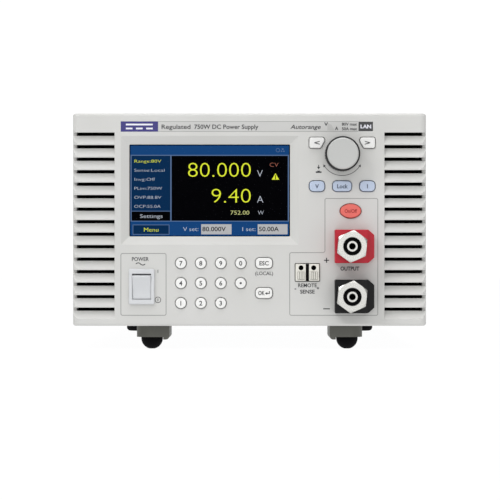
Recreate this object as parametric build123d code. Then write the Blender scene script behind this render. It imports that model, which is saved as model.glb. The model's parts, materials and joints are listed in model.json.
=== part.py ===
"""Bench power supply in a half-rack, 3U case, modelled piece by piece in millimetres.

Frame: +X to the user's right, +Y from the front panel to the rear, +Z up. The origin is on the
bench, under the middle of the instrument's overall width and length.
Lengths along Y are given as a depth behind the front panel's face, so 0 is the face and minus
values stand out towards the user.
"""

from build123d import *
from functools import partial
import math
import os

# Driving dimensions
PANEL_WIDTH = 213.0
PANEL_HEIGHT = 128.0
FOOT_HEIGHT = 14.3
CASE_DEPTH = 390.0  # panel face to the case's rear edge
NOSE_REACH = 21.6  # the output studs stand this far out of the panel
REAR_REACH = 5.0  # the serial connector's shell stands this far past the case
BEZEL_DEPTH = 24.0
SHEET = 1.5  # steel sheet of the case
FIT_GAP = 0.1  # assembly gap between sheet parts
RUN_GAP = 0.05  # radial clearance of a turning or sliding fit

HALF_WIDTH = PANEL_WIDTH / 2
BASE_Z = FOOT_HEIGHT
TOP_Z = FOOT_HEIGHT + PANEL_HEIGHT
PANEL_Y = -(CASE_DEPTH + REAR_REACH - NOSE_REACH) / 2

# Front moulding
PLATE = 3.0
LOUVRE_WALL = 4.5
RIM = 2.5
EDGE_RADIUS = 1.6
CORNER_RADIUS = 4.0  # the two upright front edges, seen from above
SIDE_WALL = 2.2
LOUVRE_COUNT = 15
LOUVRE_PITCH = 7.53
LOUVRE_TOP_Z = BASE_Z + 116.5  # upper edge of the top slot
LOUVRE_INNER_X = 81.2
LOUVRE_GAP = 2.0
LOUVRE_SLOPE_DEPTH = 3.2
LOUVRE_LIP = 0.7

# Display
WINDOW = (96.9, 55.5)
WINDOW_CENTRE = (-24.0, 95.9)
WINDOW_BEVEL = 5.0
WINDOW_SINK = 2.4
LENS_THICKNESS = 1.2
LCD_DEPTHS = (4.3, 8.6)
BOARD_DEPTH = 13.0
BOARD_THICKNESS = 1.6

# Keys: name, outline, x, z
KEY_PITCH = 12.0
DIGIT_X = -41.3
DIGIT_Z = 52.1
KEY_GAP = 0.5
KEY_PROUD = 1.3
KEY_TRAVEL = 0.8
ARROW_KEYS_Z = 124.5
SELECT_KEYS_Z = 98.4
SIDE_KEYS_X = (40.6, 70.9)

# Rotary control
KNOB_X = 55.7
KNOB_Z = 117.6
KNOB_RADIUS = 10.4
CAP_RADIUS = 9.4
SHAFT_RADIUS = 3.0
PUSH_TRAVEL = 0.5
PLUNGER_TIP = 12.0

# Mains rocker switch
ROCKER_X = -64.9
ROCKER_Z = 38.0
ROCKER_FRAME = (15.4, 21.3)
ROCKER_OPENING = (11.4, 15.5)
ROCKER_WIDTH = 11.0
ROCKER_PIVOT_DEPTH = 1.0
ROCKER_TILT = 11.0

# Remote sense connector
SENSE_X = 34.8
SENSE_Z = 46.5
SENSE_SIZE = (14.3, 10.2)
SENSE_PITCH = 7.6
SENSE_WIRE_RADIUS = 1.5

# Output terminals
OUTPUT_X = 61.0
OUTPUT_Z = {"positive": 62.2, "negative": 32.2}
SHROUD_X = (51.1, 74.8)
SHROUD_HEIGHT = 20.0
SHROUD_REACH = 12.0
LEDGE_REACH = 5.5
LEDGE_X = 70.4
STUD_RADIUS = 5.25
BOSS_FACE = -10.8
SOCKET_RADIUS = 2.0
SOCKET_LENGTH = 18.0
SLEEVE_RADIUS = 3.1
LINER_RADIUS = 5.2
WASHER_THICKNESS = 1.4
NUT_ACROSS_FLATS = 17.0
NUT_LENGTH = 9.0
NUT_TURN = -6.0

# Feet
FOOT_X = 58.5
FOOT_WIDTH = 20.0
FOOT_DEPTHS = (8.0, 52.0)
FOOT_BLOCK_Z = 7.3
PAD_X = 59.4
PAD_DEPTH = 20.0
PAD_RADIUS = 6.6
FOOT_FRONT = 2.5  # thickness of the foot's front wall, which hides the leg's knuckle
CHEEK_WIDTH = 3.7
CHEEK_Z = 5.8
CHEEK_WALL = 1.2
LEG_WIDTH = 2.2
LEG_ROOM = 0.2  # clearance at each side of the leg
LEG_LOWEST = 6.0
LEG_BAR = (6.0, 16.4)  # the bar's size along the leg and across it
LEG_PIVOT = (14.5, 8.9)  # depth, z
LEG_LENGTH = 30.0
REAR_FOOT_X = 81.5
REAR_FOOT_DEPTH = 345.0

# Case and rear panel
CASE_INSET = 1.0
CASE_HALF = HALF_WIDTH - CASE_INSET
COVER_TOP = TOP_Z - CASE_INSET
REAR_PANEL_DEPTH = 386.5
REAR_FACE = REAR_PANEL_DEPTH + SHEET
FAN_CENTRE = (46.0, 78.0)
FAN_SIZE = 80.0
FAN_HOLE_PITCH = 71.5
DUCT_RADIUS = 37.5
INLET_CENTRE = (-70.0, 44.0)
LAN_CENTRE = (-30.0, 112.0)
USB_CENTRE = (-52.0, 112.0)
SERIAL_CENTRE = (-82.0, 112.0)
GUARD_EYE = 1.5  # thickness of the fan guard's screw eyes


def at(depth):
    """Y of a depth behind the front panel's face."""
    return PANEL_Y + depth


def block(x0, x1, d0, d1, z0, z1):
    """A box between two X values, two depths and two heights."""
    middle = Pos((x0 + x1) / 2, at((d0 + d1) / 2), (z0 + z1) / 2)
    return middle * Box(x1 - x0, d1 - d0, z1 - z0)


def rod(radius, x, z, d0, d1):
    """A round bar along Y between two depths."""
    return Pos(x, at((d0 + d1) / 2), z) * Rot(90, 0, 0) * Cylinder(radius, d1 - d0)


def cross_rod(radius, x0, x1, depth, z):
    """A round bar along X."""
    return Pos((x0 + x1) / 2, at(depth), z) * Rot(0, 90, 0) * Cylinder(radius, x1 - x0)


def post(radius, x, depth, z0, z1):
    """A round bar along Z."""
    return Pos(x, at(depth), (z0 + z1) / 2) * Cylinder(radius, z1 - z0)


def prism(outline, x, z, d0, d1):
    """A flat outline, drawn in X and Z about its own middle, made solid between two depths."""
    plane = Plane(origin=(x, at(d1), z), x_dir=(1, 0, 0), z_dir=(0, -1, 0))
    return extrude(plane * outline, d1 - d0)


def side_prism(points, x0, x1):
    """A (depth, z) outline made solid between two X values."""
    plane = Plane(origin=(x0, at(0), 0), x_dir=(0, 1, 0), z_dir=(1, 0, 0))
    return extrude(plane * make_face(Polyline(*points, close=True)), x1 - x0)


def front_edges(solid):
    """The edges of the face that is nearest the user."""
    return solid.faces().sort_by(Axis.Y)[0].edges()


def mirrored(solid):
    return mirror(solid, about=Plane.YZ)


def hole_squares(centre, pitch):
    """The four corners of a square pattern, as (x, z)."""
    half = pitch / 2
    return [(centre[0] + sx * half, centre[1] + sz * half) for sx in (-1, 1) for sz in (-1, 1)]


# Keys. Each outline can be drawn larger all round, for its hole and its flange.


def round_key(grow):
    return Circle(3.15 + grow)


def pill_key(width, grow):
    return RectangleRounded(width + 2 * grow, 6.2 + 2 * grow, 2.4 + grow)


def oval_key(grow):
    """An oval of four arcs."""
    half_width, half_height, end_radius = 6.2 + grow, 4.2 + grow, 3.1 + grow
    flank = (half_width - end_radius) ** 2 + half_height**2 - end_radius**2
    radius = flank / 2 / (half_height - end_radius)
    shift = radius - half_height
    lens = Pos(0, -shift) * Circle(radius) & Pos(0, shift) * Circle(radius)
    return fillet(lens.vertices(), end_radius)


def arrow_key(side, grow):
    """A key for one side of the knob, with its lower inner corner cut away. side is 1 or -1."""
    points = [(-4.6, 3.2), (4.0, 3.2), (4.6, 1.2), (2.2, -3.2), (-4.6, -3.2)]
    outline = make_face(Polyline(*[(-side * x, z) for x, z in points], close=True))
    outline = fillet(outline.vertices(), 1.3)
    return offset(outline, grow) if grow else outline


def key_table():
    """Every key as name: (outline function, x, z)."""
    rows = (("7", "8", "9", "0"), ("4", "5", "6", "point"), ("1", "2", "3"))
    keys = {}
    for r, row in enumerate(rows):
        for c, name in enumerate(row):
            keys[f"key_{name}"] = (round_key, DIGIT_X + c * KEY_PITCH, DIGIT_Z - r * KEY_PITCH)
    keys["key_escape"] = (partial(pill_key, 10.0), 8.7, DIGIT_Z)
    keys["key_ok"] = (partial(pill_key, 10.0), 8.7, DIGIT_Z - 1.5 * KEY_PITCH)
    keys["key_left"] = (partial(arrow_key, -1), SIDE_KEYS_X[0], ARROW_KEYS_Z)
    keys["key_right"] = (partial(arrow_key, 1), SIDE_KEYS_X[1], ARROW_KEYS_Z)
    keys["key_voltage"] = (partial(pill_key, 9.0), SIDE_KEYS_X[0], SELECT_KEYS_Z)
    keys["key_lock"] = (partial(pill_key, 11.2), KNOB_X, SELECT_KEYS_Z)
    keys["key_current"] = (partial(pill_key, 9.0), SIDE_KEYS_X[1], SELECT_KEYS_Z)
    keys["key_output"] = (oval_key, 60.8, 83.5)
    return keys


def key_cap(outline, x, z):
    """A moulded cap: the part in the hole, a retaining flange behind the panel and a stem."""
    cap = prism(outline(0), x, z, -KEY_PROUD, PLATE + 0.2)
    cap = fillet(front_edges(cap), 0.5)
    flange = prism(outline(1.0), x, z, PLATE + 0.1, PLATE + 1.1)
    stem = rod(1.8, x, z, PLATE + 1.1, PLATE + 2.1)
    return cap + flange + stem


def key_mat():
    """Two silicone mats on the control board, with a hollow dome behind each key."""
    base = BOARD_DEPTH - 1.4
    tip = PLATE + 2.1 + KEY_TRAVEL + 0.2
    lower = block(-47.5, 15.5, base, BOARD_DEPTH, 22.5, 57.5)
    upper = block(34.5, 77.0, base, BOARD_DEPTH, 77.0, 130.0)
    upper -= rod(10.0, KNOB_X, KNOB_Z, base - 1, BOARD_DEPTH + 1)
    mats = [lower, upper]
    for _, x, z in key_table().values():
        which = 0 if x < 20 else 1
        turn = Pos(x, at((tip + base) / 2), z) * Rot(90, 0, 0)
        hollow = Pos(x, at((tip + base) / 2 + 1.6), z) * Rot(90, 0, 0)
        mats[which] += turn * Cone(3.6, 2.4, base - tip)
        mats[which] -= hollow * Cone(2.9, 1.7, base - tip)
    return mats


# Front moulding


def louvre_cutters():
    """The slots of the right-hand side: each runs along the face and out through the corner."""
    section = make_face(
        Polyline(
            (-1.0, 0.0),
            (LOUVRE_WALL + 1, 0.0),
            (LOUVRE_WALL + 1, -LOUVRE_GAP),
            (LOUVRE_SLOPE_DEPTH, -LOUVRE_GAP),
            (0.0, LOUVRE_LIP - LOUVRE_PITCH),
            (-1.0, LOUVRE_LIP - LOUVRE_PITCH),
            close=True,
        )
    )
    cutters = []
    for i in range(LOUVRE_COUNT):
        z = LOUVRE_TOP_Z - i * LOUVRE_PITCH
        front = Plane(origin=(LOUVRE_INNER_X, at(0), z), x_dir=(0, 1, 0), z_dir=(1, 0, 0))
        cutters.append(extrude(front * section, HALF_WIDTH + 1 - LOUVRE_INNER_X))
    return cutters


def window_cut():
    """The display opening and the sloping frame in front of it."""
    x, z = WINDOW_CENTRE
    width, height = WINDOW
    grow = 2 * WINDOW_BEVEL
    opening = prism(RectangleRounded(width, height, 0.8), x, z, -1, PLATE + 1)
    inner = Plane(origin=(x, at(WINDOW_SINK), z), x_dir=(1, 0, 0), z_dir=(0, -1, 0))
    outer = Plane(origin=(x, at(0), z), x_dir=(1, 0, 0), z_dir=(0, -1, 0))
    slope = loft([inner * Rectangle(width, height), outer * Rectangle(width + grow, height + grow)])
    return [opening, slope]


def front_bezel():
    """One moulding: the panel, its side louvres and the rim that meets the case."""
    shell = block(-HALF_WIDTH, HALF_WIDTH, 0, BEZEL_DEPTH, BASE_Z, TOP_Z)
    shell = fillet(front_edges(shell).filter_by(Axis.Z), CORNER_RADIUS)
    for end in (0, -1):
        rim = shell.faces().sort_by(Axis.Z)[end].edges().sort_by(Axis.Y)[:-1]
        shell = fillet(rim, EDGE_RADIUS)
    inside = HALF_WIDTH - SIDE_WALL
    shell -= block(-inside, inside, LOUVRE_WALL, BEZEL_DEPTH + 1, BASE_Z + RIM, TOP_Z - RIM)
    flat = LOUVRE_INNER_X - 2.0
    shell -= block(-flat, flat, PLATE, BEZEL_DEPTH + 1, BASE_Z + RIM, TOP_Z - RIM)
    right = louvre_cutters()
    for cutter in right + [mirrored(c) for c in right]:
        shell -= cutter
    cuts = window_cut()
    for outline, x, z in key_table().values():
        cuts.append(prism(outline(KEY_GAP), x, z, -1, PLATE + 1))
    cuts.append(rod(4.0, KNOB_X, KNOB_Z, -1, PLATE + 1))
    cuts.append(prism(Rectangle(13.2, 19.2), ROCKER_X, ROCKER_Z, -1, PLATE + 1))
    cuts.append(prism(Rectangle(SENSE_SIZE[0] + 0.2, SENSE_SIZE[1] + 0.2), SENSE_X, SENSE_Z, -1, PLATE + 1))
    for z in OUTPUT_Z.values():
        cuts.append(rod(7.2, OUTPUT_X, z, -1, PLATE + 1))
    return shell - cuts


# Display and control board


def display_window():
    x, z = WINDOW_CENTRE
    return prism(Rectangle(WINDOW[0] + 4, WINDOW[1] + 4), x, z, PLATE, PLATE + LENS_THICKNESS)


def lcd_module():
    """Metal-framed display: the active area is a shallow pocket in the frame's face."""
    x, z = WINDOW_CENTRE
    front, back = LCD_DEPTHS
    module = prism(RectangleRounded(105.4, 67.1, 1.0), x, z, front, back)
    return module - prism(Rectangle(*WINDOW), x, z, front - 1, front + 0.3)


def control_board():
    """Board behind the panel, cut away for the mains switch, the sense block and the outputs."""
    back = BOARD_DEPTH + BOARD_THICKNESS
    board = block(-78.0, 78.5, BOARD_DEPTH, back, 20.0, 137.0)
    notches = [
        block(-79.0, -53.0, BOARD_DEPTH - 1, back + 1, 19.0, 57.0),
        block(24.0, 45.0, BOARD_DEPTH - 1, back + 1, 19.0, 56.0),
        block(44.0, 79.5, BOARD_DEPTH - 1, back + 1, 19.0, 75.0),
    ]
    return board - notches


# Rotary control


def encoder_body():
    """Housing on the board, with the threaded bush that the shaft runs in."""
    body = prism(RectangleRounded(13.0, 13.0, 1.0), KNOB_X, KNOB_Z, 6.5, BOARD_DEPTH)
    bush = rod(3.8, KNOB_X, KNOB_Z, 0.4, 6.6)
    chamber = rod(4.6, KNOB_X, KNOB_Z, 8.0, PLUNGER_TIP + PUSH_TRAVEL + 0.1)
    return body + bush - chamber - rod(SHAFT_RADIUS + RUN_GAP, KNOB_X, KNOB_Z, -1, 9)


def encoder_plunger():
    """Disc that the shaft's end bears on; it clicks the switch at the back of the chamber."""
    return rod(4.3, KNOB_X, KNOB_Z, 10.2, 11.6) + rod(1.2, KNOB_X, KNOB_Z, 11.5, PLUNGER_TIP)


def encoder_shaft():
    shaft = rod(SHAFT_RADIUS, KNOB_X, KNOB_Z, -10.0, 10.2)
    flat = block(KNOB_X - 4, KNOB_X + 4, -10.5, -2.0, KNOB_Z + 1.6, KNOB_Z + 4)
    return chamfer(shaft.faces().sort_by(Axis.Y)[0].edges(), 0.4) - flat


def knob_grip():
    """Black skirt with fine flutes, hollow behind, and a hub on the D-shaped shaft."""
    grip = rod(KNOB_RADIUS, KNOB_X, KNOB_Z, -13.0, -0.8)
    grip = fillet(front_edges(grip), 0.5)
    flutes = 40
    cuts = [rod(CAP_RADIUS - 1.2, KNOB_X, KNOB_Z, -14, -11.0)]
    cuts.append(rod(CAP_RADIUS, KNOB_X, KNOB_Z, -8.0, 0) - rod(5.0, KNOB_X, KNOB_Z, -8.1, 0.1))
    cuts.append(rod(SHAFT_RADIUS + 0.02, KNOB_X, KNOB_Z, -10.1, 0))
    for i in range(flutes):
        angle = 2 * math.pi * i / flutes
        reach = KNOB_RADIUS + 0.35
        cuts.append(
            rod(0.55, KNOB_X + reach * math.cos(angle), KNOB_Z + reach * math.sin(angle), -12.0, 0)
        )
    return grip - cuts


def knob_cap():
    """Light disc in the grip's mouth, with a raised rim and a shallow dished face."""
    disc = rod(CAP_RADIUS, KNOB_X, KNOB_Z, -14.2, -13.0)
    disc = chamfer(front_edges(disc), 0.7)
    disc += rod(CAP_RADIUS - 1.3, KNOB_X, KNOB_Z, -13.1, -11.0)
    dish = Pos(KNOB_X, at(-14.2 - 158.0 + 0.3), KNOB_Z) * Sphere(158.0)
    return disc - dish


# Mains switch


def rocker_housing():
    """Snap-in switch body with its frame, an open well for the rocker and three rear tabs."""
    x, z = ROCKER_X, ROCKER_Z
    frame = prism(RectangleRounded(*ROCKER_FRAME, 0.8), x, z, -1.8, 0)
    frame = fillet(front_edges(frame), 0.6)
    body = prism(Rectangle(13.0, 19.0), x, z, -0.1, 15.0)
    well = prism(Rectangle(*ROCKER_OPENING), x, z, -3.0, 9.0)
    pivot = cross_rod(1.0 + RUN_GAP, x - 7.0, x + 7.0, ROCKER_PIVOT_DEPTH, z)
    housing = frame + body - well - pivot
    for dz in (-6.0, 0.0, 6.0):
        housing += block(x - 2.4, x + 2.4, 14.9, 22.0, z + dz - 0.4, z + dz + 0.4)
    return housing


def rocker_button():
    """The rocker, pressed in at its lower end, with a pivot stub at each side."""
    half, face = 7.0, -3.0
    side = side_prism(
        [(face, half), (0.0, half + 0.2), (5.0, 4.0), (5.0, -4.0), (0.0, -half - 0.2), (face, -half)],
        -ROCKER_WIDTH / 2,
        ROCKER_WIDTH / 2,
    )
    hollow_radius = 22.0
    dish = cross_rod(hollow_radius, -7, 7, face - hollow_radius + 0.9, 0)
    button = side - dish
    button = fillet(button.edges().filter_by(Axis.X).sort_by(Axis.Y)[:2], 0.5)
    button += cross_rod(1.0, -6.2, 6.2, 0, 0)
    about_origin = Pos(0, -at(0), 0) * button
    return Pos(ROCKER_X, at(ROCKER_PIVOT_DEPTH), ROCKER_Z) * Rot(ROCKER_TILT, 0, 0) * about_origin


# Remote sense connector


def sense_centres():
    return {
        "negative": SENSE_X - SENSE_PITCH / 2,
        "positive": SENSE_X + SENSE_PITCH / 2,
    }


def sense_housing():
    """Two-way spring clamp: a wire hole above a slot for each push lever."""
    width, height = SENSE_SIZE
    housing = prism(Rectangle(width, height), SENSE_X, SENSE_Z, -1.6, 12.0)
    housing = fillet(front_edges(housing), 0.3)
    housing -= block(SENSE_X - 1.0, SENSE_X + 1.0, -3, 6.0, SENSE_Z - 6, SENSE_Z + 6)
    for x in sense_centres().values():
        housing -= rod(SENSE_WIRE_RADIUS, x, SENSE_Z + 2.8, -3, 8.0)
        housing -= block(x - 2.25, x + 2.25, -3, 10.0, SENSE_Z - 4.3, SENSE_Z + 0.5)
    return housing


def sense_lever(x):
    """Push lever with three ribs for a screwdriver's tip."""
    lever = block(x - 2.1, x + 2.1, -2.4, 7.4, SENSE_Z - 4.15, SENSE_Z + 0.35)
    lever = fillet(front_edges(lever), 0.25)
    for i in (-1, 0, 1):
        middle = x + 1.1 * i
        lever -= block(middle - 0.2, middle + 0.2, -3, -1.4, SENSE_Z - 5, SENSE_Z + 1)
    return lever


# Output terminals


def terminal_shroud(z):
    """Insulating block round an output stud, with a pocket and a lowered ledge for the lug's cable."""
    x0, x1 = SHROUD_X
    half = SHROUD_HEIGHT / 2
    cut_x, cut_z = 3.6, 3.2
    points = [(x0, -half), (x1 - cut_x, -half), (x1, cut_z - half)]
    points += [(x1, half - cut_z), (x1 - cut_x, half), (x0, half)]
    outline = make_face(Polyline(*points, close=True))
    shroud = prism(outline, 0, z, -SHROUD_REACH, 0)
    shroud = fillet(shroud.edges().filter_by(Axis.Y), 0.6)
    shroud = chamfer(front_edges(shroud), 0.4)
    shroud -= block(LEDGE_X, x1 + 1, -SHROUD_REACH - 1, -LEDGE_REACH, z - half - 1, z + half + 1)
    shroud -= rod(8.0, OUTPUT_X, z, -SHROUD_REACH - 1, -2.0)
    shroud -= block(OUTPUT_X, LEDGE_X + 1, -SHROUD_REACH - 1, -LEDGE_REACH, z - 4.0, z + 4.0)
    shroud += rod(7.1, OUTPUT_X, z, -0.1, PLATE + 3)
    return shroud - rod(4.05, OUTPUT_X, z, -3, PLATE + 4)


def terminal_stud(z):
    """Turned stud: contact boss, thread for the clamp nut, and a nose bored for a 4 mm plug."""
    stud = rod(4.0, OUTPUT_X, z, -2.1, 22.5)
    stud += rod(7.6, OUTPUT_X, z, BOSS_FACE, -2.0)
    stud += rod(STUD_RADIUS, OUTPUT_X, z, -20.0, BOSS_FACE + 0.1)
    stud += rod(SLEEVE_RADIUS, OUTPUT_X, z, -NOSE_REACH, -19.9)
    return stud - rod(SOCKET_RADIUS, OUTPUT_X, z, -NOSE_REACH - 1, SOCKET_LENGTH - NOSE_REACH)


def socket_liner(z):
    """Black insulating ring round the stud's nose."""
    ring = rod(LINER_RADIUS, OUTPUT_X, z, 0.2 - NOSE_REACH, -20.0)
    return ring - rod(SLEEVE_RADIUS + 0.03, OUTPUT_X, z, -NOSE_REACH - 1, -19)


def clamp_washer(z):
    ring = rod(7.5, OUTPUT_X, z, BOSS_FACE - WASHER_THICKNESS, BOSS_FACE)
    return ring - rod(STUD_RADIUS + RUN_GAP, OUTPUT_X, z, -14, -10)


def terminal_nut(z):
    """Hexagonal clamp nut with turned chamfers at both ends and a relieved face."""
    back = BOSS_FACE - WASHER_THICKNESS - 0.1
    front = back - NUT_LENGTH
    corner = NUT_ACROSS_FLATS / 2 / math.cos(math.pi / 6)
    hexagon = Rot(0, 0, 90 + NUT_TURN) * RegularPolygon(corner, 6)
    turned = rod(corner - 0.15, OUTPUT_X, z, front, back)
    turned = chamfer(front_edges(turned), 0.6, 1.1)
    turned = chamfer(turned.faces().sort_by(Axis.Y)[-1].edges(), 0.5)
    nut = prism(hexagon, OUTPUT_X, z, front, back) & turned
    nut -= rod(STUD_RADIUS + RUN_GAP, OUTPUT_X, z, front - 1, back + 1)
    lead = Pos(OUTPUT_X, at(front + 0.1), z) * Rot(90, 0, 0) * Cone(STUD_RADIUS, STUD_RADIUS + 0.3, 0.3)
    return nut - lead


# Feet


def front_foot():
    """Right-hand front foot: a block over the pad, and a cheek with the slot where the leg folds away."""
    d0, d1 = FOOT_DEPTHS
    inner, outer = FOOT_X - FOOT_WIDTH / 2, FOOT_X + FOOT_WIDTH / 2
    body = block(inner, outer, d0, d1, FOOT_BLOCK_Z, BASE_Z)
    body = fillet(body.edges().filter_by(Axis.Z).sort_by(Axis.Y)[:2].sort_by(Axis.X)[-1:], 8.0)
    body += block(inner, inner + CHEEK_WIDTH, d0, d1, CHEEK_Z, FOOT_BLOCK_Z + 0.1)
    lowest = body.edges().filter_by(Axis.Y).sort_by(Axis.Z)[:2]
    body = fillet(lowest.sort_by(Axis.X)[:1], 2.2)
    depth, z = LEG_PIVOT
    back = depth + LEG_LENGTH
    slot_side = inner + CHEEK_WALL
    slot_end = slot_side + LEG_WIDTH + 2 * LEG_ROOM
    length, reach = LEG_BAR
    below = CHEEK_Z - 1
    body -= block(slot_side, slot_end, d0 + FOOT_FRONT, back + 1, below, BASE_Z - 2.0)
    body -= block(slot_side, slot_side + reach + 1, back - length - 1, back + 1, below, z + 1.5)
    return body + cross_rod(1.25, inner + 0.5, slot_end + 0.5, depth, z)


def tilt_leg():
    """Right-hand tilt leg, folded back: a knuckle, an arm beside the pad and a bar behind it."""
    inner = FOOT_X - FOOT_WIDTH / 2 + CHEEK_WALL + LEG_ROOM
    depth, z = LEG_PIVOT
    back = depth + LEG_LENGTH
    knuckle = z - LEG_LOWEST
    length, reach = LEG_BAR
    arm = side_prism(
        [(depth, LEG_LOWEST), (back, LEG_LOWEST), (back, z + 1.0), (depth, z + knuckle)],
        inner,
        inner + LEG_WIDTH,
    )
    leg = arm + cross_rod(knuckle, inner, inner + LEG_WIDTH, depth, z)
    leg += block(inner, inner + reach, back - length, back, LEG_LOWEST, z + 1.0)
    return leg - cross_rod(1.3, inner - 1, inner + LEG_WIDTH + 1, depth, z)


def front_pad():
    """Rubber dome with a small flat where it stands."""
    ball = Pos(PAD_X, at(PAD_DEPTH), PAD_RADIUS - 0.25) * Sphere(PAD_RADIUS)
    span = PAD_RADIUS + 1
    return ball & block(
        PAD_X - span, PAD_X + span, PAD_DEPTH - span, PAD_DEPTH + span, 0, FOOT_BLOCK_Z
    )


def rear_foot():
    foot = post(10.0, REAR_FOOT_X, REAR_FOOT_DEPTH, 0, BASE_Z)
    return fillet(foot.faces().sort_by(Axis.Z)[0].edges(), 2.5)


# Case


def cover_screw_places():
    """Side screws of the cover, as (side, depth)."""
    return [(side, depth) for side in (-1, 1) for depth in (45.0, 205.0, 365.0)]


SIDE_SCREW_Z = BASE_Z + 8.0


def rear_screw_places():
    """Screws along the rear panel's edges, as (x, z)."""
    return [(x, z) for x in (-96.0, 0.0, 97.0) for z in (BASE_Z + 7.0, TOP_Z - 9.0)]


def inlet_screw_places():
    x, z = INLET_CENTRE
    return [(x - 20.0, z), (x + 20.0, z)]


def standoff_places():
    return [(x, depth) for x in (-88.0, 88.0) for depth in (48.0, 195.0, 342.0)]


def base_tray():
    """Folded tray with standoffs for the main board."""
    half = CASE_HALF - SHEET - FIT_GAP
    tray = block(-half, half, BEZEL_DEPTH, CASE_DEPTH, BASE_Z, BASE_Z + SHEET)
    for side in (-1, 1):
        ends = sorted((side * half, side * (half - SHEET)))
        tray += block(*ends, BEZEL_DEPTH, REAR_PANEL_DEPTH - 1, BASE_Z, BASE_Z + 16.0)
    for x, depth in standoff_places():
        tray += post(3.5, x, depth, BASE_Z + SHEET - 0.1, BASE_Z + 11.0)
    for side, depth in cover_screw_places():
        ends = sorted((side * (half + 1), side * (half - 3)))
        tray -= cross_rod(1.55, *ends, depth, SIDE_SCREW_Z)
    return tray


def top_cover():
    """Folded cover: top and both sides, with a field of slots in each side."""
    outer = block(-CASE_HALF, CASE_HALF, BEZEL_DEPTH, CASE_DEPTH, BASE_Z, COVER_TOP)
    outer = fillet(outer.edges().filter_by(Axis.Y).sort_by(Axis.Z)[2:], 2.4)
    inner = CASE_HALF - SHEET
    cavity = block(-inner, inner, BEZEL_DEPTH - 1, CASE_DEPTH + 1, BASE_Z - 1, COVER_TOP - SHEET)
    cavity = fillet(cavity.edges().filter_by(Axis.Y).sort_by(Axis.Z)[2:], 0.9)
    cover = outer - cavity
    cuts = []
    for side in (-1, 1):
        ends = sorted((side * (inner - 1), side * (CASE_HALF + 1)))
        for column in range(12):
            depth = 268.0 + 8.0 * column
            for z0 in (46.0, 80.0):
                slot = block(*ends, depth - 1.5, depth + 1.5, z0, z0 + 26.0)
                cuts.append(fillet(slot.edges().filter_by(Axis.X), 1.45))
    for side, depth in cover_screw_places():
        ends = sorted((side * (inner - 1), side * (CASE_HALF + 1)))
        cuts.append(cross_rod(1.7, *ends, depth, SIDE_SCREW_Z))
    return cover - cuts


def rear_panel():
    """Rear plate with its cut-outs: fan, mains inlet, network, USB and serial."""
    half = CASE_HALF - SHEET - FIT_GAP
    plate = block(
        -half, half, REAR_PANEL_DEPTH, REAR_FACE, BASE_Z + SHEET + FIT_GAP, COVER_TOP - SHEET - FIT_GAP
    )
    plate = fillet(plate.edges().filter_by(Axis.Y), 1.2)
    through = (REAR_PANEL_DEPTH - 1, REAR_FACE + 1)
    cuts = [rod(DUCT_RADIUS, *FAN_CENTRE, *through)]
    cuts += [rod(2.2, x, z, *through) for x, z in hole_squares(FAN_CENTRE, FAN_HOLE_PITCH)]
    cuts += [rod(1.7, x, z, *through) for x, z in inlet_screw_places()]
    cuts += [rod(1.7, x, z, *through) for x, z in rear_screw_places()]
    cuts.append(prism(Rectangle(27.4, 20.2), *INLET_CENTRE, *through))
    cuts.append(prism(Rectangle(16.4, 13.9), *LAN_CENTRE, *through))
    cuts.append(prism(Rectangle(12.4, 11.4), *USB_CENTRE, *through))
    cuts.append(prism(Rectangle(20.0, 11.6), *SERIAL_CENTRE, *through))
    return plate - cuts


def pan_head_screw(length):
    """M3 cross-recessed screw, head up, standing on the XY plane."""
    head = Pos(0, 0, 1.1) * Cylinder(2.8, 2.2)
    head = fillet(head.faces().sort_by(Axis.Z)[-1].edges(), 1.0)
    screw = head + Pos(0, 0, -length / 2) * Cylinder(1.5, length + 0.02)
    recess = Pos(0, 0, 1.9) * (Box(3.0, 0.7, 1.6) + Box(0.7, 3.0, 1.6))
    return screw - recess


def case_screws():
    """Every visible screw: cover sides, rear panel edges, mains inlet and fan guard."""
    screws = []
    for side, depth in cover_screw_places():
        screws.append(Pos(side * CASE_HALF, at(depth), SIDE_SCREW_Z) * Rot(0, side * 90, 0) * pan_head_screw(6))
    outward = Rot(-90, 0, 0)
    for x, z in rear_screw_places():
        screws.append(Pos(x, at(REAR_FACE), z) * outward * pan_head_screw(6))
    for x, z in inlet_screw_places():
        screws.append(Pos(x, at(REAR_FACE + 3.0), z) * outward * pan_head_screw(8))
    for x, z in hole_squares(FAN_CENTRE, FAN_HOLE_PITCH):
        screws.append(Pos(x, at(REAR_FACE + GUARD_EYE), z) * outward * pan_head_screw(9))
    return screws


# Rear fittings


def fan_frame():
    """Axial fan housing: duct, four struts and the motor cup."""
    d0, d1 = REAR_PANEL_DEPTH - 25.0, REAR_PANEL_DEPTH
    x, z = FAN_CENTRE
    frame = prism(RectangleRounded(FAN_SIZE, FAN_SIZE, 4.0), x, z, d0, d1)
    frame -= rod(DUCT_RADIUS, x, z, d0 - 1, d1 + 1)
    frame -= [rod(1.55, hx, hz, d0 - 1, d1 + 1) for hx, hz in hole_squares(FAN_CENTRE, FAN_HOLE_PITCH)]
    for angle in (45, 135, 225, 315):
        strut = Pos(x, at(d1 - 2.0), z) * Rot(0, angle, 0) * Pos(27.5, 0, 0) * Box(24.0, 4.0, 3.0)
        frame += strut
    frame += rod(17.0, x, z, d1 - 6.0, d1)
    return frame - rod(1.5 + RUN_GAP, x, z, d1 - 7, d1 - 1.5)


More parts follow.
